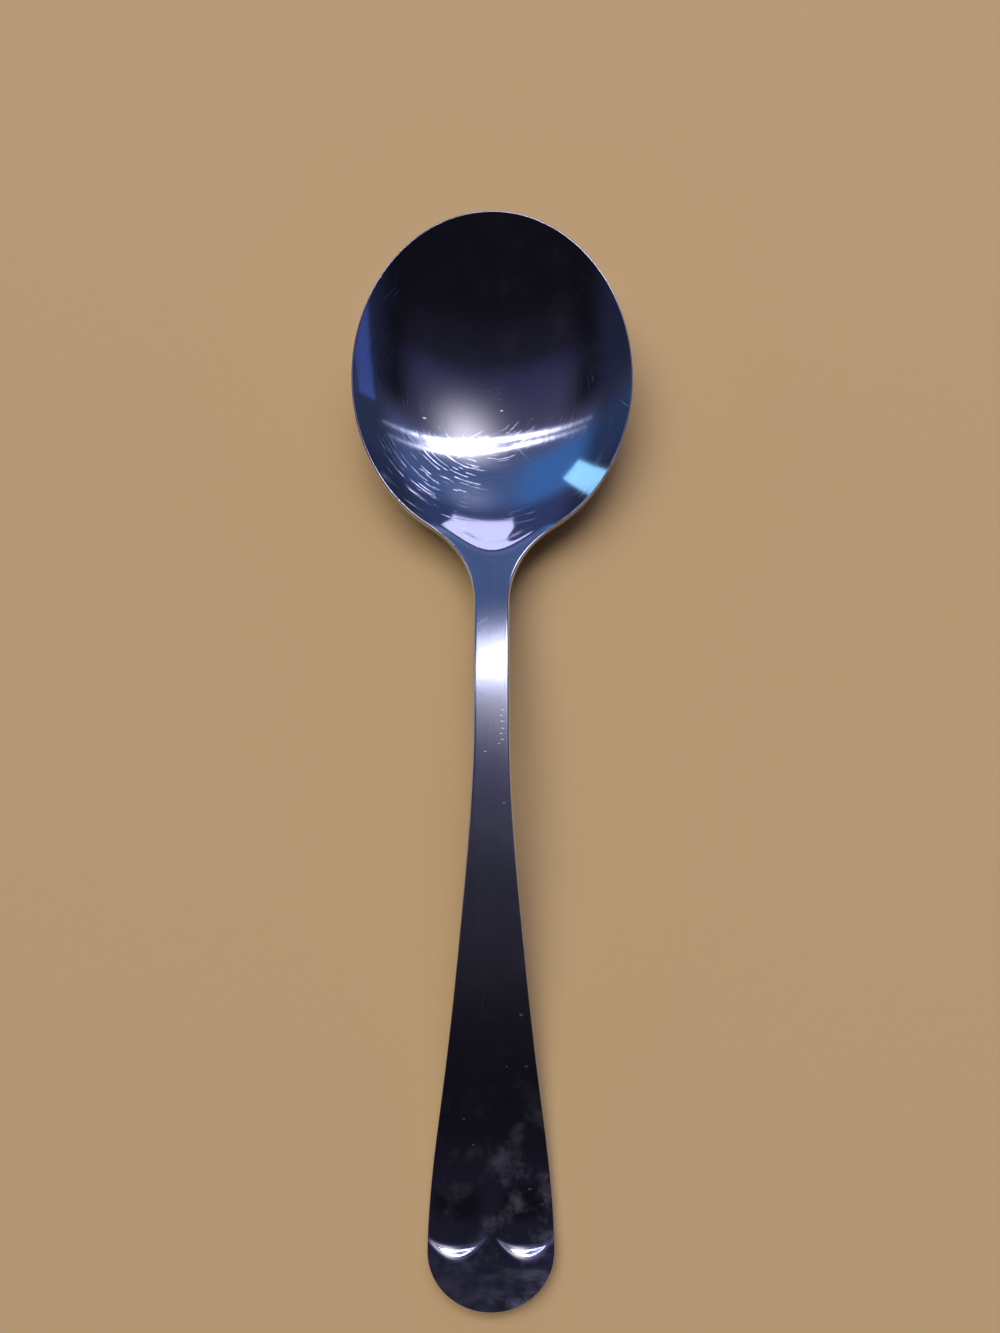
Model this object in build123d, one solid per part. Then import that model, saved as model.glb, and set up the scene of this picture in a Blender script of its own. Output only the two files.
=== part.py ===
from build123d import *
import math
import os

# Soup spoon, pressed from one steel blank, lying on its back on a table. Sizes in millimetres.
# X runs across the spoon, +Y towards the tip of the bowl, +Z up. The origin is on the table,
# under the middle of the spoon's length.

# Plan of the blank
spoon_length = 168.0
bowl_width = 46.4
bowl_length = 54.6
flare_radius = 16.5
neck_width = 5.6
neck_from_tip = 86.0
slim_width = 8.0
slim_from_end = 59.4
broad_width = 14.0
broad_from_end = 30.9
end_width = 18.3
end_round = 7.9

# Dished bowl: depth below the rim, rise of the rim towards the tip, length of the run-out at the heel
bowl_depth = 9.5
bowl_tilt = 10.0
heel_blend = 8.0

# Arched handle, and its end lifted a little along a bend that curves with the rounded end
arch_rise = 10.0
rest_from_end = 14.0
upturn_angle = 5.0
upturn_bend = 12.0
upturn_dish = 10.0

# Crown across the handle's face, and the two round hollows coined side by side in its end
handle_crown = 0.2
hollow_width = 7.4
hollow_depth = 0.8
hollow_spacing = 9.9
hollow_from_end = 10.0

# Thickness of the rolled metal, the length over which it thins from the neck into the bowl,
# the bevel around its face and the rounding around its back
bowl_wall = 1.3
neck_thickness = 2.8
end_thickness = 2.0
heel_thinning = 26.0
edge_bevel = 0.35
edge_radius = 0.5

# How far the lofted skins reach past the outline, the short step over which their slope is taken,
# and the number of their cross-sections
skin_margin = 3.0
slope_step = 0.2
end_count = 12
stem_count = 8
heel_count = 8
bowl_count = 8

# Places along the spoon that follow from the sizes above
tip_y = spoon_length / 2
end_y = -spoon_length / 2
bowl_y = tip_y - bowl_length / 2
heel_y = tip_y - bowl_length
neck_y = tip_y - neck_from_tip
slim_y = end_y + slim_from_end
broad_y = end_y + broad_from_end
widest_y = end_y + end_round
rest_y = end_y + rest_from_end
tilt_slope = math.tan(math.radians(bowl_tilt))
upturn_slope = math.tan(math.radians(upturn_angle))

# The rim's height over the bowl's middle puts the lowest point of the bowl's back on the table.
rim_height = bowl_wall + bowl_depth + (tilt_slope * bowl_length) ** 2 / (16 * bowl_depth)
heel_height = rim_height - tilt_slope * bowl_length / 2

# The arch is a cosine wave that leaves the table at the resting line and meets the rim at the heel.
heel_phase = math.acos(2 * (heel_height - end_thickness) / arch_rise - 1)
arch_half_wave = math.pi * (heel_y - rest_y) / (math.pi + heel_phase)


def ease(share):
    """Smooth step from 0 to 1, level at both ends."""
    t = min(max(share, 0.0), 1.0)
    return t**3 * (t * (6 * t - 15) + 10)


def handle_share(y):
    """0 in the bowl, 1 in the handle, easing over where the bowl runs out into the neck."""
    return ease((heel_y - y) / heel_blend + 0.5)


def upturn(y):
    """Rise and slope of the lifted end: it bends up from the resting line, then runs straight."""
    reach = max(rest_y - y, 0.0)
    t = min(reach / upturn_bend, 1.0)
    rise = upturn_bend * (t**3 - t**4 / 2) + max(reach - upturn_bend, 0.0)
    return upturn_slope * rise, upturn_slope * t**2 * (3 - 2 * t)


def formed_height(y):
    """Height of the strip's upper side along its middle: dished bowl, arched handle, lifted end."""
    dish = rim_height + tilt_slope * (y - bowl_y) - bowl_depth * (1 - (2 * (y - bowl_y) / bowl_length) ** 2)
    wave = math.pi * max(y - rest_y, 0.0) / arch_half_wave
    handle = end_thickness + arch_rise / 2 * (1 - math.cos(wave)) + upturn(y)[0]
    return dish + (handle - dish) * handle_share(y)


def formed_curve(y):
    """Curve across the strip: its height over the middle line is this times the square of x."""
    dish = bowl_depth / (bowl_width / 2) ** 2
    handle = upturn(y)[1] / (2 * upturn_dish)
    return dish + (handle - dish) * handle_share(y)


def thickness(y):
    """Metal thickness: thin in the bowl, thickest at the neck, thinner again at the end."""
    to_bowl = ease((y - heel_y) / heel_thinning + 0.5) * (bowl_wall - neck_thickness)
    to_end = ease((neck_y - y) / (neck_y - rest_y)) * (end_thickness - neck_thickness)
    return neck_thickness + to_bowl + to_end


def face_height(x, y):
    """Upper skin: the formed strip with the handle's crown."""
    crown = handle_share(y) * handle_crown * (2 / end_width) ** 2
    return formed_height(y) + (formed_curve(y) - crown) * x**2


def back_height(x, y):
    """Lower skin: one thickness below the formed strip, measured square to it."""
    slope_along = (formed_height(y + slope_step) - formed_height(y - slope_step)) / (2 * slope_step)
    slope_across = 2 * formed_curve(y) * x
    drop = thickness(y) * math.sqrt(1 + slope_along**2 + slope_across**2)
    return formed_height(y) + formed_curve(y) * x**2 - drop


def evenly(start, stop, count):
    """Evenly spaced places from start up to, but not at, stop."""
    return [start + (stop - start) * i / count for i in range(count)]


def lofted_skin(height):
    """Skin lofted through parabolic cross-sections from handle end to bowl tip, wider than the blank."""
    stem_start = rest_y + upturn_bend
    heel_start = heel_y - heel_blend
    heel_stop = heel_y + heel_blend
    places = evenly(end_y - skin_margin, stem_start, end_count)
    places += evenly(stem_start, heel_start, stem_count)
    places += evenly(heel_start, heel_stop, heel_count)
    places += evenly(heel_stop, tip_y + skin_margin, bowl_count) + [tip_y + skin_margin]
    half = bowl_width / 2 + skin_margin
    sections = []
    for y in places:
        middle = height(0, y)
        side = height(half, y)
        sections.append(Wire([Bezier((-half, y, side), (0, y, 2 * middle - side), (half, y, side))]))
    return Shell.make_loft(sections).face()


def blank_outline():
    """Plan of the blank: oval bowl, slim neck flared into it, widening stem and rounded end."""
    neck_half = neck_width / 2
    end_half = end_width / 2
    neck_edge = Line((neck_half, bowl_y), (neck_half, neck_y))
    slim_point = (slim_width / 2, slim_y)
    broad_point = (broad_width / 2, broad_y)
    stem_points = [(neck_half, neck_y), slim_point, broad_point, (end_half, widest_y)]
    stem_edge = Spline(*stem_points, tangents=[(0, -1), (0, -1)])
    right_edges = [neck_edge, stem_edge]
    left_edges = [mirror(edge, about=Plane.YZ) for edge in right_edges]
    end_edge = EllipticalCenterArc((0, widest_y), end_half, end_round, 180, arc_size=180)
    top_edge = Line((-neck_half, bowl_y), (neck_half, bowl_y))
    stem = make_face([top_edge, end_edge] + right_edges + left_edges)
    outline = Pos(0, bowl_y) * Ellipse(bowl_width / 2, bowl_length / 2) + stem
    heel_corners = outline.vertices().filter_by(lambda v: v.Y > neck_y and abs(v.X) < neck_width)
    return fillet(heel_corners, flare_radius)


def trimmed(solid, skin, side):
    """The part of a solid above (side 1) or below (side -1) a skin."""
    pieces = solid.split(skin, keep=Keep.ALL)
    return max(pieces, key=lambda piece: side * piece.center().Z)


def end_hollow(x):
    """Ball that presses one round hollow into the face of the handle's end."""
    y = end_y + hollow_from_end
    radius = ((hollow_width / 2) ** 2 + hollow_depth**2) / (2 * hollow_depth)
    return Pos(x, y, face_height(x, y) + radius - hollow_depth) * Sphere(radius)


def spoon_solid():
    """Blank standing between the two skins, its edges broken and the two hollows pressed into its end."""
    height = rim_height + tilt_slope * bowl_length / 2 + 4 * skin_margin
    block = Pos(0, 0, -skin_margin) * extrude(blank_outline(), amount=height)
    below_face = trimmed(block.solid(), lofted_skin(face_height), -1)
    formed = trimmed(below_face, lofted_skin(back_height), 1)
    back, face = formed.faces().sort_by(SortBy.AREA)[-2:].sort_by(Axis.Z)
    bevelled = formed.chamfer(edge_bevel, None, face.edges())
    back_edges = bevelled.faces().sort_by_distance(back.center())[0].edges()
    rounded = bevelled.fillet(edge_radius, back_edges)
    return rounded - end_hollow(hollow_spacing / 2) - end_hollow(-hollow_spacing / 2)


spoon = spoon_solid()
spoon.label = "spoon"
os.makedirs("parts", exist_ok=True)
export_step(spoon, "parts/spoon.step")
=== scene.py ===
import math

import bmesh
import bpy
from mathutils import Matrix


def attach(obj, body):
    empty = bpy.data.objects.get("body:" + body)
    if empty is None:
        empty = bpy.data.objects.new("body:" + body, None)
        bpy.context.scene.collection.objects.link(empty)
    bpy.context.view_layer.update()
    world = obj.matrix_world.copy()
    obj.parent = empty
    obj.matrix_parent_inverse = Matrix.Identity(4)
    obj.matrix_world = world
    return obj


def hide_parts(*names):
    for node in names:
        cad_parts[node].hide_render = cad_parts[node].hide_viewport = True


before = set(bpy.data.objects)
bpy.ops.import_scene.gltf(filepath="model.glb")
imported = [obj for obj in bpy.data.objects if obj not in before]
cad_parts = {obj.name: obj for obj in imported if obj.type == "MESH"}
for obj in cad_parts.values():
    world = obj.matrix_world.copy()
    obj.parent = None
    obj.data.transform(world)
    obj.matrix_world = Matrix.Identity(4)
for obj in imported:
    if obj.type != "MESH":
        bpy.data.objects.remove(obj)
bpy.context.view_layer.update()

# Spoon. One piece of stainless steel: a flat blank is cut out, its bowl is dished and its handle arched
# between dies, and two hollows are coined side by side in its end. The trimmed edge is ground round, the
# bowl is polished in circles and the handle along its length, down to a mirror. Sizes in millimetres.
mm = 0.001
bowl_half_width = 23.15
bowl_half_length = 27.3
bowl_middle = 56.7
bowl_depth = 9.5
bowl_tilt = math.tan(math.radians(10.0))
bowl_heel = bowl_middle - bowl_half_length
bowl_wall = 1.3
heel_blend = 6.5
heel_point = 1.6
heel_curve = 0.15
heel_reach = 8.0
heel_thinning = 26.0
flare_radius = 16.5
neck_half_width = 2.8
neck_place = -2.0
neck_thickness = 2.8
neck_lift = 0.5
lift_start = -48.0
lift_length = 52.0
handle_end = -83.99
handle_crown = 0.2
rest_line = -70.0
arch_rise = 10.0
upturn_slope = math.tan(math.radians(5.0))
upturn_bend = 12.0
upturn_dish = 10.0
end_half_width = 9.15
end_round = 7.9
end_widest = handle_end + end_round
end_thickness = 2.0
hollow_middle = 4.95
hollow_half_width = 4.75
hollow_depth = 0.61
hollow_fullness = 1.7
hollow_floor = 3.0
hollow_run_out = 7.0
hollow_lip = -76.6
lip_curve = 4.4
lip_width = 2.42
lip_narrowest = 0.2

# Half widths of the stem: place, half width and slope.
stem_marks = [
    (end_widest, end_half_width, 0.0),
    (-53.1, 7.0, -0.129),
    (-24.6, 4.0, -0.0857),
    (neck_place, neck_half_width, 0.0),
]

# Roundings of the face's and the back's edge: at the rim, along the neck, at the handle's end, and the place
# where the neck's begins to ease into the end's.
face_edge = (0.2, 0.55, 0.1, -4.0)
back_edge = (0.5, 1.0, 0.6, -8.0)
rim_edge_stop = 33.0
rim_edge_ease = 12.0
neck_edge_ease = 40.0

# The bowl's back touches the table, and the arch is a cosine wave that meets the rim at the heel.
rim_height = bowl_wall + bowl_depth + (bowl_tilt * bowl_half_length) ** 2 / (4 * bowl_depth)
heel_height = rim_height - bowl_tilt * bowl_half_length
heel_phase = math.acos(2 * (heel_height - end_thickness) / arch_rise - 1)
arch_half_wave = math.pi * (bowl_heel - rest_line) / (math.pi + heel_phase)


def ease(share):
    """Smooth step from 0 to 1, level at both ends."""
    t = min(max(share, 0.0), 1.0)
    return t**3 * (t * (6 * t - 15) + 10)


def handle_share(x, y):
    """0 in the bowl, 1 in the handle, easing over the heel, which points down the neck."""
    turn = heel_curve * x**2 * math.exp(-((x / heel_reach) ** 2))
    return ease((bowl_heel - heel_point + turn - y) / heel_blend + 0.5)


def upturn(y):
    """Rise and slope of the lifted end: it bends up from the resting line, then runs straight."""
    reach = max(rest_line - y, 0.0)
    t = min(reach / upturn_bend, 1.0)
    rise = upturn_bend * (t**3 - t**4 / 2) + max(reach - upturn_bend, 0.0)
    return upturn_slope * rise, upturn_slope * t**2 * (3 - 2 * t)


def formed_height(x, y):
    """Height of the formed strip's upper side, before the crown and the coining."""
    along = (y - bowl_middle) / bowl_half_length
    across = x / bowl_half_width
    dish = rim_height + bowl_tilt * (y - bowl_middle) - bowl_depth * (1 - along**2 - across**2)
    wave = math.pi * max(y - rest_line, 0.0) / arch_half_wave
    rise, slope = upturn(y)
    handle = end_thickness + arch_rise / 2 * (1 - math.cos(wave)) + rise + slope / (2 * upturn_dish) * x**2
    handle += neck_lift * ease((y - lift_start) / lift_length)
    return dish + (handle - dish) * handle_share(x, y)


def thickness(y):
    """Metal thickness: thin in the bowl, thickest at the neck, thinner again at the end."""
    to_bowl = ease((y - bowl_heel) / heel_thinning + 0.5) * (bowl_wall - neck_thickness)
    to_end = ease((neck_place - y) / (neck_place - rest_line)) * (end_thickness - neck_thickness)
    return neck_thickness + to_bowl + to_end


def hollows(x, y):
    """Depth of the two coined hollows: each ends in a curved lip and runs out up the handle."""
    across = abs(x) - hollow_middle
    share = max(1 - (across / hollow_half_width) ** 2, 0.0) ** hollow_fullness
    lip = hollow_lip + across**2 / (2 * lip_curve)
    wall = ease((y - lip) / (lip_width * max(share, lip_narrowest)) + 0.5)
    run_out = 1 - ease((y - hollow_lip - hollow_floor) / hollow_run_out)
    return hollow_depth * share * wall * run_out


def face_height(x, y):
    """Upper side with the handle's crown and the coined hollows."""
    crown = handle_share(x, y) * handle_crown * (x / end_half_width) ** 2
    return formed_height(x, y) - crown - hollows(x, y)


def back_height(x, y):
    """Lower side, one thickness below the formed strip, measured square to it."""
    step = 0.1
    along = (formed_height(x, y + step) - formed_height(x, y - step)) / (2 * step)
    across = (formed_height(x + step, y) - formed_height(x - step, y)) / (2 * step)
    return formed_height(x, y) - thickness(y) * math.sqrt(1 + along**2 + across**2)


def edge_radius(y, rim, neck, end, neck_stop):
    """Rounding of an edge: those at the rim, along the neck and at the end, eased into each other."""
    to_neck = ease((rim_edge_stop - y) / rim_edge_ease)
    to_end = ease((neck_stop - y) / neck_edge_ease)
    return rim + (neck - rim) * to_neck + (end - neck) * to_end


def stem_half_width(y):
    """Half width of the stem and its slope: smooth curves between the marks."""
    for (y0, w0, s0), (y1, w1, s1) in zip(stem_marks, stem_marks[1:]):
        if y <= y1:
            break
    h = y1 - y0
    t = (y - y0) / h
    value = w0 * (1 + 2 * t) * (1 - t) ** 2 + h * s0 * t * (1 - t) ** 2
    value += w1 * t**2 * (3 - 2 * t) + h * s1 * t**2 * (t - 1)
    slope = (w1 - w0) * 6 * t * (1 - t) / h + s0 * (1 - t) * (1 - 3 * t) + s1 * t * (3 * t - 2)
    return value, slope


def flare():
    """Round flare between neck and rim: its start, its turn, and the rim's angle where they touch."""
    low, high = -math.pi / 2, 0.0
    halvings = 50
    for _ in range(halvings):
        angle = (low + high) / 2
        nx, ny = math.cos(angle) / bowl_half_width, math.sin(angle) / bowl_half_length
        size = math.hypot(nx, ny)
        middle = bowl_half_width * math.cos(angle) + flare_radius * nx / size
        if middle < neck_half_width + flare_radius:
            low = angle
        else:
            high = angle
    start = bowl_middle + bowl_half_length * math.sin(angle) + flare_radius * ny / size
    return start, math.acos(nx / size), angle


end_rows = 44
lip_rows = 48
lip_row_spacing = 0.25
stem_rows = 70
neck_rows = 28
flare_rows = 30
rim_rows = 120


def outline():
    """Right half of the blank's outline from the handle's end to the tip: place and outward direction."""
    marks = []
    for k in range(end_rows):
        a = math.pi / 2 * k / end_rows
        x, y = math.sin(a), -math.cos(a)
        marks.append((end_half_width * x, end_widest + end_round * y, x / end_half_width, y / end_round))
    lip_end = end_widest + lip_rows * lip_row_spacing
    places = [end_widest + k * lip_row_spacing for k in range(lip_rows)]
    places += [lip_end + (neck_place - lip_end) * k / stem_rows for k in range(stem_rows)]
    for y in places:
        half, slope = stem_half_width(y)
        marks.append((half, y, 1.0, -slope))
    flare_start, flare_turn, rim_start = flare()
    for k in range(neck_rows):
        marks.append((neck_half_width, neck_place + (flare_start - neck_place) * k / neck_rows, 1.0, 0.0))
    for k in range(flare_rows):
        a = math.pi - flare_turn * k / flare_rows
        x, y = math.cos(a), math.sin(a)
        middle = neck_half_width + flare_radius
        marks.append((middle + flare_radius * x, flare_start + flare_radius * y, -x, -y))
    for k in range(rim_rows):
        a = rim_start + (math.pi / 2 - rim_start) * k / rim_rows
        x, y = bowl_half_width * math.cos(a), bowl_half_length * math.sin(a)
        marks.append((x, bowl_middle + y, x / bowl_half_width**2, y / bowl_half_length**2))
    marks.append((0.0, bowl_middle + bowl_half_length, 0.0, 1.0))
    return marks


face_columns = 130
back_columns = 60
round_columns = 7
foot_columns = 5
bunching = 0.48 * math.pi
gather_most = 0.6
gather_start = -56.0
gather_ease = 8.0


def spread(count, gather):
    """Places from -1 to 1 across a skin, bunched at its edges, and in its middle too as they gather."""
    places = []
    for k in range(count + 1):
        t = 2 * k / count - 1
        places.append((1 - gather) * math.sin(bunching * t) / math.sin(bunching) + gather * t**3)
    return places


def skin_row(height, x, y, places):
    """Points of one row across the upper or the lower skin, at places that are shares of its half width."""
    return [(x * share, y, height(x * share, y)) for share in places]


def rounding(height, radius, side, shares, x, y, nx, ny):
    """Rounding from the upper (side 1) or lower (side -1) skin to the edge: its start and its points."""
    step = 0.05
    slope = (height(x, y) - height(x - step * nx, y - step * ny)) / step
    lean = side * math.atan(slope)
    inset = radius * (1 + math.sin(lean))
    start_x, start_y = x - inset * nx, y - inset * ny
    middle = height(start_x, start_y) - side * radius * math.cos(lean)
    points = []
    for share in shares:
        a = (math.pi / 2 + lean) * share
        out = radius * (math.cos(a) - 1)
        points.append((x + out * nx, y + out * ny, middle + side * radius * math.sin(a)))
    return start_x, start_y, points


def section(x, y, nx, ny):
    """Points round one cross-section: face from left to right, right edge, back, left edge."""
    size = math.hypot(nx, ny)
    mark = (x, y, nx / size, ny / size)
    top_shares = [1 - k / round_columns for k in range(1, round_columns + 1)]
    foot_shares = [k / foot_columns for k in range(foot_columns)]
    top_x, top_y, top = rounding(face_height, edge_radius(y, *face_edge), 1, top_shares, *mark)
    foot_x, foot_y, foot = rounding(back_height, edge_radius(y, *back_edge), -1, foot_shares, *mark)
    gather = gather_most * ease((gather_start - y) / gather_ease)
    face = skin_row(face_height, top_x, top_y, spread(face_columns, gather))
    back = skin_row(back_height, foot_x, foot_y, reversed(spread(back_columns, 0.0)))
    edge = top + foot
    other = [(-px, py, pz) for px, py, pz in reversed(edge)]
    return face + edge + back + other + face[:1]


sections = [section(*mark) for mark in outline()]
rows = len(sections) - 1
columns = len(sections[0]) - 1
bm = bmesh.new()
bmesh.ops.create_grid(bm, x_segments=columns, y_segments=rows, size=1.0)
for vert in bm.verts:
    column = round((vert.co.x + 1) / 2 * columns)
    row = round((vert.co.y + 1) / 2 * rows)
    vert.co = [value * mm for value in sections[row][column]]
bmesh.ops.remove_doubles(bm, verts=bm.verts[:], dist=1e-8)
bmesh.ops.recalc_face_normals(bm, faces=bm.faces[:])
for polygon in bm.faces:
    polygon.smooth = True
spoon_mesh = bpy.data.meshes.new("polished_spoon")
bm.to_mesh(spoon_mesh)
bm.free()
spoon = bpy.data.objects.new("polished_spoon", spoon_mesh)
bpy.context.scene.collection.objects.link(spoon)


def node(tree, kind, values, **settings):
    """New node in a tree: its settings, and numbers or sockets for its inputs by place or name."""
    made = tree.nodes.new(kind)
    for name, value in settings.items():
        setattr(made, name, value)
    for place, value in values.items():
        if isinstance(value, bpy.types.NodeSocket):
            tree.links.new(value, made.inputs[place])
        else:
            made.inputs[place].default_value = value
    return made


def reckon(tree, operation, *values):
    """Result of a sum on numbers or sockets."""
    return node(tree, "ShaderNodeMath", dict(enumerate(values)), operation=operation).outputs[0]


def graded(tree, value, span, first=0.0, last=1.0):
    """Smooth change from first to last as a value crosses a span."""
    values = {"Value": value, "From Min": span[0], "From Max": span[1], "To Min": first, "To Max": last}
    return node(tree, "ShaderNodeMapRange", values, interpolation_type="SMOOTHSTEP").outputs["Result"]


def graded_mm(tree, value, span, first=0.0, last=1.0):
    """Smooth change from first to last as a distance crosses a span in millimetres."""
    return graded(tree, value, (span[0] * mm, span[1] * mm), first, last)


def mixed(tree, factor, first, second, blend="MIX"):
    """Colour between two colours, or their sum."""
    values = {0: factor, 6: first, 7: second}
    return node(tree, "ShaderNodeMix", values, data_type="RGBA", blend_type=blend).outputs[2]


def cloudy(tree, across, along, crowd, detail):
    """Cloudy value between 0 and 1, crowded by one amount across and by another along."""
    u = reckon(tree, "MULTIPLY", across, crowd[0])
    v = reckon(tree, "MULTIPLY", along, crowd[1])
    place = node(tree, "ShaderNodeCombineXYZ", {0: u, 1: v}).outputs[0]
    values = {"Vector": place, "Scale": 1.0, "Detail": detail, "Roughness": 0.6}
    return node(tree, "ShaderNodeTexNoise", values).outputs[0]


def away(tree, x, y, place):
    """Distance in plan from a place in millimetres."""
    point = node(tree, "ShaderNodeCombineXYZ", {0: x, 1: y}).outputs[0]
    middle = (place[0] * mm, place[1] * mm, 0.0)
    return node(tree, "ShaderNodeVectorMath", {0: point, 1: middle}, operation="DISTANCE").outputs["Value"]


def slanted(tree, x, y, turn, size):
    """Place along a direction turned from X, counted in steps of a size in millimetres."""
    rise = reckon(tree, "MULTIPLY", y, math.sin(turn) / (size * mm))
    return reckon(tree, "MULTIPLY_ADD", x, math.cos(turn) / (size * mm), rise)


def effect(name, *results):
    """Empty node group that takes a place in metres: its tree, x, y and end."""
    tree = bpy.data.node_groups.new(name, "ShaderNodeTree")
    tree.interface.new_socket("Place", in_out="INPUT", socket_type="NodeSocketVector")
    for result in results:
        tree.interface.new_socket(result, in_out="OUTPUT", socket_type="NodeSocketFloat")
    start = tree.nodes.new("NodeGroupInput")
    parts = node(tree, "ShaderNodeSeparateXYZ", {0: start.outputs["Place"]})
    return tree, parts.outputs[0], parts.outputs[1], tree.nodes.new("NodeGroupOutput")


# Marks of the polishing wheel: broken rings round the bowl's middle, worn deepest at one place, fine lines
# along the handle, and a satin stem, finely grained, between the mirror of the bowl and that of the end.
# A cut is the span of a cloudy value over which its mark comes to show.
bowl_marks_start = (24.0, 31.0)
rings_crowd = (3400.0, 2.6)
rings_cut = (0.58, 0.70)
worn_crowd = (160.0, 160.0)
worn_cut = (0.45, 0.65)
worn_least = 0.1
worn_most = 0.7
worn_place = (-10.0, 41.0)
worn_reach = (11.0, 3.0)
lines_crowd = (4200.0, 23.0)
lines_cut = (0.4, 0.75)
neck_satin = 0.125
stem_satin = 0.27
satin_growth = (-3.0, -18.0)
satin_top = (21.0, 10.0)
satin_foot = (-64.0, -30.0)
grain_least = 0.8
grain_range = 0.4
tree, x, y, end = effect("polishing_marks", "Rings", "Lines", "Satin")
in_bowl = graded_mm(tree, y, bowl_marks_start)
around = reckon(tree, "ARCTAN2", x, reckon(tree, "SUBTRACT", bowl_middle * mm, y))
outwards = away(tree, x, y, (0.0, bowl_middle))
rings = graded(tree, cloudy(tree, outwards, around, rings_crowd, detail=1.0), rings_cut)
worn = graded(tree, cloudy(tree, x, y, worn_crowd, detail=1.0), worn_cut, worn_least, worn_most)
worn = reckon(tree, "ADD", worn, graded_mm(tree, away(tree, x, y, worn_place), worn_reach))
worn = reckon(tree, "MULTIPLY", worn, in_bowl)
tree.links.new(reckon(tree, "MULTIPLY", rings, worn), end.inputs["Rings"])
lines = graded(tree, cloudy(tree, x, y, lines_crowd, detail=2.0), lines_cut)
on_handle = reckon(tree, "SUBTRACT", 1.0, in_bowl)
tree.links.new(reckon(tree, "MULTIPLY", lines, on_handle), end.inputs["Lines"])
satin = graded_mm(tree, y, satin_growth, neck_satin, stem_satin)
satin = reckon(tree, "MULTIPLY", satin, graded_mm(tree, y, satin_top))
satin = reckon(tree, "MULTIPLY", satin, graded_mm(tree, y, satin_foot))
spot = node(tree, "ShaderNodeCombineXYZ", {0: x, 1: y}).outputs[0]
grain = node(tree, "ShaderNodeTexWhiteNoise", {"Vector": spot}).outputs["Value"]
grain = reckon(tree, "MULTIPLY_ADD", grain, grain_range, grain_least)
tree.links.new(reckon(tree, "MULTIPLY", satin, grain), end.inputs["Satin"])
polishing_marks = tree

# Wear from use: sparse hairlines in three directions, given by turn, length, spacing and rarity, and small
# nicks, longer across the spoon than along it, given by place and half length along it.
hairlines = [(0.55, 9.0, 1.2, 0.975), (-0.9, 6.0, 1.0, 0.975), (1.45, 11.0, 1.5, 0.97)]
hair_waves = 3.1
hair_bend = 0.12
hair_sides = (0.05, 0.015)
hair_ends = (0.2, 0.6)
nick_stretch = 1.9
nick_floor = 0.3
nick_places = [
    (5.6, -68.1, 0.24), (5.2, -51.0, 0.18), (2.3, -51.0, 0.13), (4.4, -43.6, 0.18), (-4.0, -58.4, 0.16),
    (1.7, 1.0, 0.17), (1.5, 0.1, 0.14), (1.7, -0.8, 0.19), (1.8, -1.9, 0.18), (1.5, -2.7, 0.15),
    (1.7, -3.6, 0.18), (1.2, -4.2, 0.13), (-0.9, -5.4, 0.16), (1.6, 55.3, 0.20), (-11.6, 52.9, 0.24),
    (7.4, -70.2, 0.20), (-2.6, -62.0, 0.16), (1.9, -13.0, 0.14),
]
tree, x, y, end = effect("scratches_and_nicks", "Scratches", "Nicks")
scratches = 0.0
for turn, length, spacing, rarity in hairlines:
    u = slanted(tree, x, y, turn, length)
    v = slanted(tree, x, y, turn + math.pi / 2, spacing)
    cell = {0: reckon(tree, "FLOOR", u), 1: reckon(tree, "FLOOR", v)}
    cell = node(tree, "ShaderNodeCombineXYZ", cell).outputs[0]
    chance = node(tree, "ShaderNodeTexWhiteNoise", {"Vector": cell}).outputs["Value"]
    wave = reckon(tree, "SINE", reckon(tree, "MULTIPLY", u, hair_waves))
    bent = reckon(tree, "MULTIPLY", wave, hair_bend)
    across = reckon(tree, "ADD", reckon(tree, "FRACT", v), bent)
    across = reckon(tree, "ABSOLUTE", reckon(tree, "SUBTRACT", across, 0.5))
    ends = reckon(tree, "SINE", reckon(tree, "MULTIPLY", reckon(tree, "FRACT", u), math.pi))
    hair = reckon(tree, "MULTIPLY", graded(tree, across, hair_sides), graded(tree, ends, hair_ends))
    hair = reckon(tree, "MULTIPLY", hair, reckon(tree, "GREATER_THAN", chance, rarity))
    scratches = reckon(tree, "MAXIMUM", scratches, hair)
tree.links.new(scratches, end.inputs["Scratches"])
nicks = 0.0
narrowed = reckon(tree, "DIVIDE", x, nick_stretch)
for place_x, place_y, size in nick_places:
    gap = away(tree, narrowed, y, (place_x / nick_stretch, place_y))
    nicks = reckon(tree, "MAXIMUM", nicks, graded_mm(tree, gap, (size, nick_floor * size)))
tree.links.new(nicks, end.inputs["Nicks"])
scratches_and_nicks = tree

# Smudges from handling: hazy cloudy patches, most of them on the right near the handle's end, and wiped
# streaks across its very tip. The haze is real; the blue tint it gets in the steel's colour is a painted
# cool sheen.
smudge_crowd = (210.0, 210.0)
smudge_cut = (0.47, 0.74)
smudge_growth = (-52.0, -72.0)
smudge_least = 0.08
streaks_crowd = (110.0, 300.0)
streaks_cut = (0.42, 0.72)
streaks_start = (-77.0, -79.0)
right_growth = (-4.0, 5.0)
left_share = 0.3
tree, x, y, end = effect("smudges", "Haze")
clouds = graded(tree, cloudy(tree, x, y, smudge_crowd, detail=4.0), smudge_cut)
clouds = reckon(tree, "MULTIPLY", clouds, graded_mm(tree, y, smudge_growth, first=smudge_least))
streaks = graded(tree, cloudy(tree, x, y, streaks_crowd, detail=3.0), streaks_cut)
streaks = reckon(tree, "MULTIPLY", streaks, graded_mm(tree, y, streaks_start))
rightwards = graded_mm(tree, x, right_growth, first=left_share)
haze = reckon(tree, "MULTIPLY", reckon(tree, "MAXIMUM", clouds, streaks), rightwards)
tree.links.new(haze, end.inputs["Haze"])
smudges = tree

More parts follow.
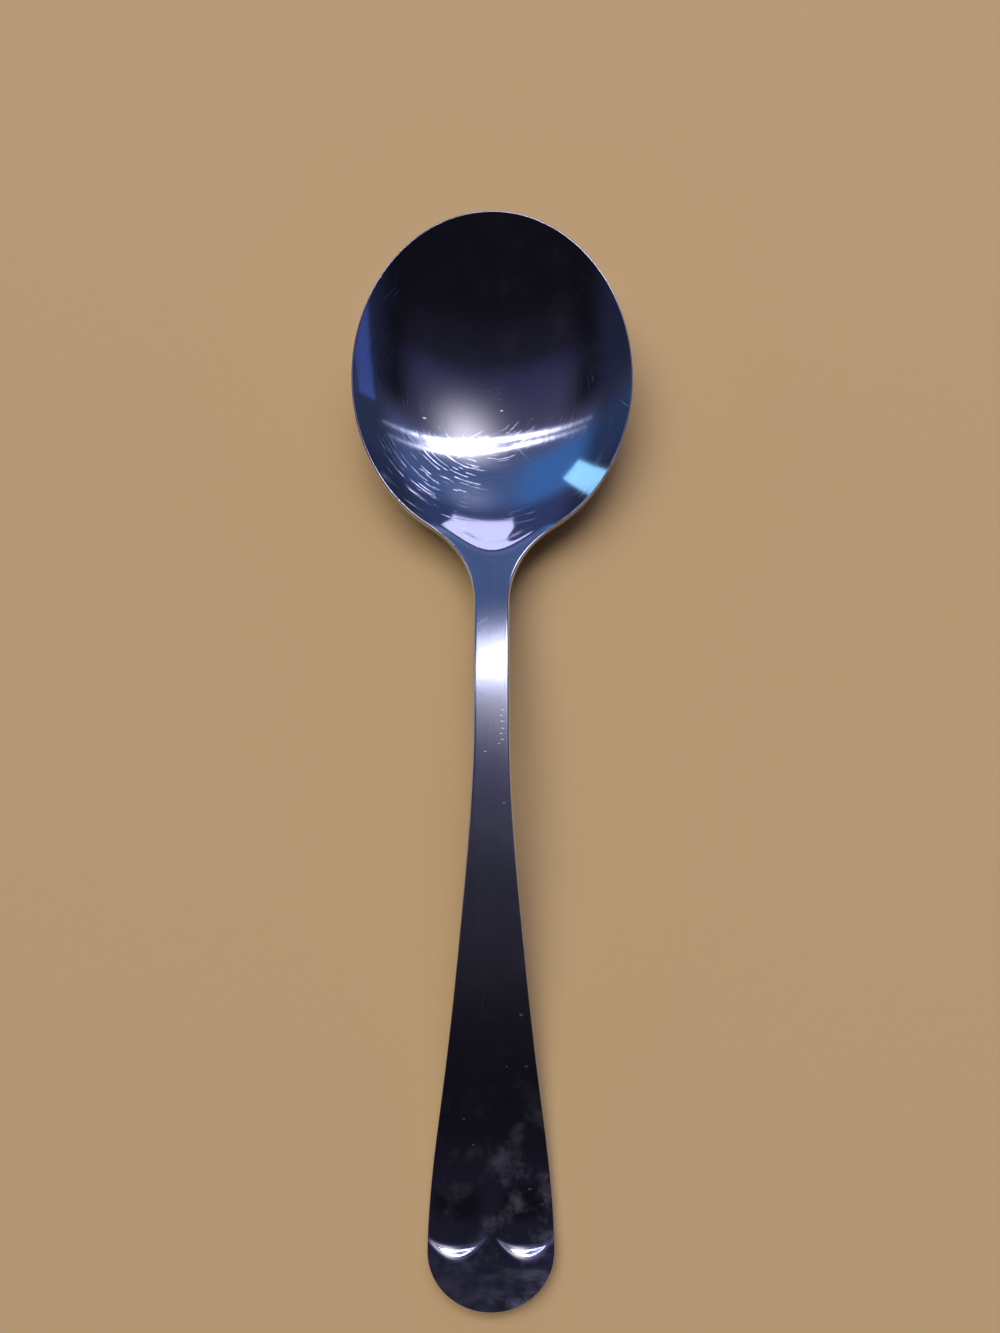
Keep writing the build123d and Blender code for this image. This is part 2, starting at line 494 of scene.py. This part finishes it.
# Steel with all its marks: what each adds to the roughness of the mirror, and how deep it is cut, counted
# in the relief's depth, which is in metres.
bright_steel = (0.66, 0.67, 0.70, 1.0)
lined_steel = (0.60, 0.61, 0.65, 1.0)
nicked_steel = (0.80, 0.79, 0.80, 1.0)
# Smudge tone: real handling haze, tinted blue as a painted sheen of cool room light.
smudge_and_painted_cool_sheen = (0.56, 0.56, 0.84, 1.0)
haze_dulling = 0.12
mirror_roughness = 0.075
added_roughness = {"Rings": 0.05, "Scratches": 0.08, "Nicks": 0.35, "Haze": 0.14}
cut_depths = {"Rings": 2.0, "Lines": 0.25, "Scratches": 0.4, "Nicks": 3.0}
relief_depth = 4e-6
steel = bpy.data.materials.new("polished_stainless_steel")
steel.use_nodes = True
tree = steel.node_tree
steel_shader = tree.nodes["Principled BSDF"]
place = node(tree, "ShaderNodeTexCoord", {}).outputs["Object"]
marks = {}
for group in (polishing_marks, scratches_and_nicks, smudges):
    marks.update(node(tree, "ShaderNodeGroup", {"Place": place}, node_tree=group).outputs.items())
tone = mixed(tree, marks["Lines"], bright_steel, lined_steel)
tone = mixed(tree, marks["Nicks"], tone, nicked_steel)
# The smudges' blue tone is painted cool sheen laid over real haze.
tone = mixed(tree, marks["Haze"], tone, smudge_and_painted_cool_sheen)
tree.links.new(tone, steel_shader.inputs["Base Color"])
metal = reckon(tree, "MULTIPLY_ADD", marks["Haze"], -haze_dulling, 1.0)
tree.links.new(metal, steel_shader.inputs["Metallic"])
rough = reckon(tree, "ADD", marks["Satin"], mirror_roughness)
for name, amount in added_roughness.items():
    rough = reckon(tree, "MULTIPLY_ADD", marks[name], amount, rough)
tree.links.new(rough, steel_shader.inputs["Roughness"])
relief = 0.0
for name, depth in cut_depths.items():
    relief = reckon(tree, "MULTIPLY_ADD", marks[name], -depth, relief)
bumps = node(tree, "ShaderNodeBump", {"Height": relief, "Strength": 1.0, "Distance": relief_depth})
tree.links.new(bumps.outputs["Normal"], steel_shader.inputs["Normal"])
spoon_mesh.materials.append(steel)
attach(spoon, "root")
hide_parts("spoon")

# Table top. A plain pale sand-coloured board with a matt face.
# The spoon lies on it loose, and it only carries the shadow.
table_half_size = 3.0
sand = (0.55, 0.38, 0.195, 1.0)
bm = bmesh.new()
bmesh.ops.create_grid(bm, x_segments=1, y_segments=1, size=table_half_size)
table_mesh = bpy.data.meshes.new("table_top")
bm.to_mesh(table_mesh)
bm.free()
table = bpy.data.objects.new("table_top", table_mesh)
bpy.context.scene.collection.objects.link(table)
table_paint = bpy.data.materials.new("pale_sand")
table_paint.use_nodes = True
table_shader = table_paint.node_tree.nodes["Principled BSDF"]
table_shader.inputs["Base Color"].default_value = sand
table_shader.inputs["Roughness"].default_value = 0.9
table_shader.inputs["Specular IOR Level"].default_value = 0.1
table_mesh.materials.append(table_paint)

# Studio. A dim cool backdrop with a pale skyline, dark behind the camera and blue past the bowl's tip, where
# a soft gleam stands. Three bent tube lamps hang overhead and four flat lamps stand round the spoon, all for
# the steel to mirror, and a broad soft key lamp lights the table. Sizes in metres.

# Places and spans on the backdrop are reaches sideways or forwards over the height: 1 is 45 degrees from
# overhead. Its tones run from behind the camera to past the bowl's tip.
backdrop_tones = [
    (-0.50, (0.008, 0.007, 0.012)),
    (-0.15, (0.018, 0.017, 0.034)),
    (0.00, (0.044, 0.039, 0.105)),
    (0.50, (0.080, 0.078, 0.155)),
    (0.80, (0.086, 0.128, 0.290)),
    (1.40, (0.072, 0.130, 0.335)),
    (1.90, (0.040, 0.060, 0.170)),
]
gleam_tone = (1.0, 0.96, 1.05, 1.0)
gleam_middle = 0.28
gleam_width = 0.30
gleam_rise = (-0.15, 0.5)
gleam_fall = (0.9, 0.5)
late_gleam_rise = (0.9, 1.4)
late_gleam_fall = (2.0, 1.4)
late_gleam_share = 0.14
flank_tone = (0.006, 0.006, 0.010, 1.0)
flank_sides = (0.7, 1.3)
flank_stop = (0.7, 0.3)
blue_tone = (0.055, 0.170, 0.480, 1.0)
blue_side = (-0.15, -0.6)
blue_start = (0.65, 0.95)
blue_stop = (1.9, 1.4)
outer_tone = (0.022, 0.026, 0.060, 1.0)
outer_sides = (1.1, 1.7)
outer_most = 0.85
skyline_tone = (0.60, 0.58, 0.56, 1.0)
skyline_heights = (0.18, 0.04)
least_height = 0.05
world = bpy.data.worlds.new("studio")
bpy.context.scene.world = world
world.use_nodes = True
tree = world.node_tree
backdrop = tree.nodes["Background"]
backdrop.inputs["Strength"].default_value = 1.0
direction = node(tree, "ShaderNodeTexCoord", {}).outputs["Generated"]
parts = node(tree, "ShaderNodeSeparateXYZ", {0: direction})
height = reckon(tree, "MAXIMUM", parts.outputs["Z"], least_height)
sideways = reckon(tree, "DIVIDE", parts.outputs["X"], height)
forwards = reckon(tree, "DIVIDE", parts.outputs["Y"], height)
aside = reckon(tree, "ABSOLUTE", sideways)

first_place, last_place = backdrop_tones[0][0], backdrop_tones[-1][0]
values = {"Value": forwards, "From Min": first_place, "From Max": last_place}
share = node(tree, "ShaderNodeMapRange", values).outputs["Result"]
ramp = node(tree, "ShaderNodeValToRGB", {"Fac": share})
while len(ramp.color_ramp.elements) < len(backdrop_tones):
    ramp.color_ramp.elements.new(0.5)
for element, (place, tone) in zip(ramp.color_ramp.elements, backdrop_tones):
    element.position = (place - first_place) / (last_place - first_place)
    element.color = (*tone, 1.0)

lean = reckon(tree, "DIVIDE", reckon(tree, "SUBTRACT", sideways, gleam_middle), gleam_width)
column = reckon(tree, "EXPONENT", reckon(tree, "MULTIPLY", reckon(tree, "MULTIPLY", lean, lean), -1.0))
gleam = reckon(tree, "POWER", graded(tree, forwards, gleam_rise), 2.0)
gleam = reckon(tree, "MULTIPLY", gleam, graded(tree, forwards, gleam_fall))
late_gleam = graded(tree, forwards, late_gleam_rise)
late_gleam = reckon(tree, "MULTIPLY", late_gleam, graded(tree, forwards, late_gleam_fall))
gleam = reckon(tree, "MULTIPLY_ADD", late_gleam, late_gleam_share, gleam)
shade = mixed(tree, reckon(tree, "MULTIPLY", column, gleam), ramp.outputs["Color"], gleam_tone, "ADD")
flank = reckon(tree, "MULTIPLY", graded(tree, aside, flank_sides), graded(tree, forwards, flank_stop))
shade = mixed(tree, flank, shade, flank_tone)
blue = reckon(tree, "MULTIPLY", graded(tree, sideways, blue_side), graded(tree, forwards, blue_start))
blue = reckon(tree, "MULTIPLY", blue, graded(tree, forwards, blue_stop))
shade = mixed(tree, blue, shade, blue_tone)
shade = mixed(tree, graded(tree, aside, outer_sides, last=outer_most), shade, outer_tone)
shade = mixed(tree, graded(tree, parts.outputs["Z"], skyline_heights), shade, skyline_tone)
tree.links.new(shade, backdrop.inputs["Color"])


def flat_lamp(name, width, height, radiance, colour):
    """Flat lamp that is as bright as its radiance, whatever its size."""
    lamp = bpy.data.lights.new(name, "AREA")
    lamp.shape = "RECTANGLE"
    lamp.size = width
    lamp.size_y = height
    lamp.color = colour
    lamp.energy = radiance * width * height * math.pi
    piece = bpy.data.objects.new(name, lamp)
    bpy.context.scene.collection.objects.link(piece)
    return piece


tube_height = 1.05
tube_pieces = 16
tube_reaches = 2.0
tube_bend_radius = 0.5
tube_overlap = 1.02
tube_radiance = 7.6
tube_fade = 5
tube_colour = (0.68, 0.70, 1.0)


def tube(name, middle, nearest, bend, glow, reach, thick):
    """Bent tube lamp: a chain of flat lamps, brightest at its glow and fading over its reach either way."""
    places = [glow + reach * tube_reaches * (2 * k / tube_pieces - 1) for k in range(tube_pieces + 1)]
    bows = [math.hypot(x - middle, tube_bend_radius) - tube_bend_radius for x in places]
    marks = [(x, nearest + bend * bow) for x, bow in zip(places, bows)]
    for k, ((x0, y0), (x1, y1)) in enumerate(zip(marks, marks[1:])):
        x, y = (x0 + x1) / 2, (y0 + y1) / 2
        radiance = tube_radiance / (1 + abs((x - glow) / reach) ** tube_fade)
        length = tube_overlap * math.hypot(x1 - x0, y1 - y0)
        piece = flat_lamp(f"{name}_{k}", length, thick, radiance, tube_colour)
        piece.location = (x, y, tube_height)
        piece.rotation_euler = (0.0, 0.0, math.atan2(y1 - y0, x1 - x0))


tube("tube_near", middle=-0.20, nearest=0.535, bend=0.290, glow=0.10, reach=0.78, thick=0.040)
tube("tube_middle", middle=-0.25, nearest=0.583, bend=0.305, glow=0.42, reach=0.33, thick=0.100)
tube("tube_far", middle=-0.30, nearest=0.632, bend=0.320, glow=0.115, reach=0.735, thick=0.035)

panel_distance = 1.6
cyan = (0.30, 0.65, 1.0)
lilac = (0.63, 0.62, 1.0)
deep_blue = (0.12, 0.24, 1.0)
pale_blue = (0.5, 0.8, 1.0)


def panel(name, colour, tilt, bearing, width, height, radiance):
    """Flat lamp facing the spoon, at a tilt from overhead and a bearing from +Y towards +X in degrees."""
    psi, beta = math.radians(tilt), math.radians(bearing)
    piece = flat_lamp(name, width, height, radiance, colour)
    out = panel_distance * math.sin(psi)
    piece.location = (out * math.sin(beta), out * math.cos(beta), panel_distance * math.cos(psi))
    piece.rotation_mode = "QUATERNION"
    piece.rotation_quaternion = piece.location.to_track_quat("Z", "Y")


panel("panel_cyan", cyan, tilt=67.5, bearing=-40.5, width=0.23, height=0.36, radiance=1.5)
panel("panel_lilac", lilac, tilt=74.5, bearing=3.5, width=0.66, height=0.52, radiance=1.45)
panel("panel_blue", deep_blue, tilt=61.0, bearing=92.0, width=1.30, height=0.14, radiance=0.27)
panel("panel_side", pale_blue, tilt=75.0, bearing=-75.0, width=0.50, height=0.30, radiance=1.0)

key_lamp = bpy.data.lights.new("key", "SUN")
key_lamp.energy = 2.16
key_lamp.angle = math.radians(54.0)
key_lamp.color = (1.0, 0.94, 0.86)
key = bpy.data.objects.new("key", key_lamp)
key.rotation_euler = (math.radians(-21.0), math.radians(-16.0), 0.0)
key.visible_glossy = False
bpy.context.scene.collection.objects.link(key)

# Camera. Above the middle of the handle, tilted towards the bowl.
# It sees the whole spoon upright, bowl up, as it lies on the table.
view = bpy.data.cameras.new("view")
view.sensor_width = 36.0
view.lens = 27.22
view.clip_start = 0.01
view.clip_end = 20.0
camera = bpy.data.objects.new("view", view)
camera.location = (0.0013, -0.0263, 0.1618)
camera.rotation_euler = (math.radians(12.75), 0.0, 0.0)
bpy.context.scene.collection.objects.link(camera)
bpy.context.scene.camera = camera
bpy.context.scene.view_settings.view_transform = "Standard"
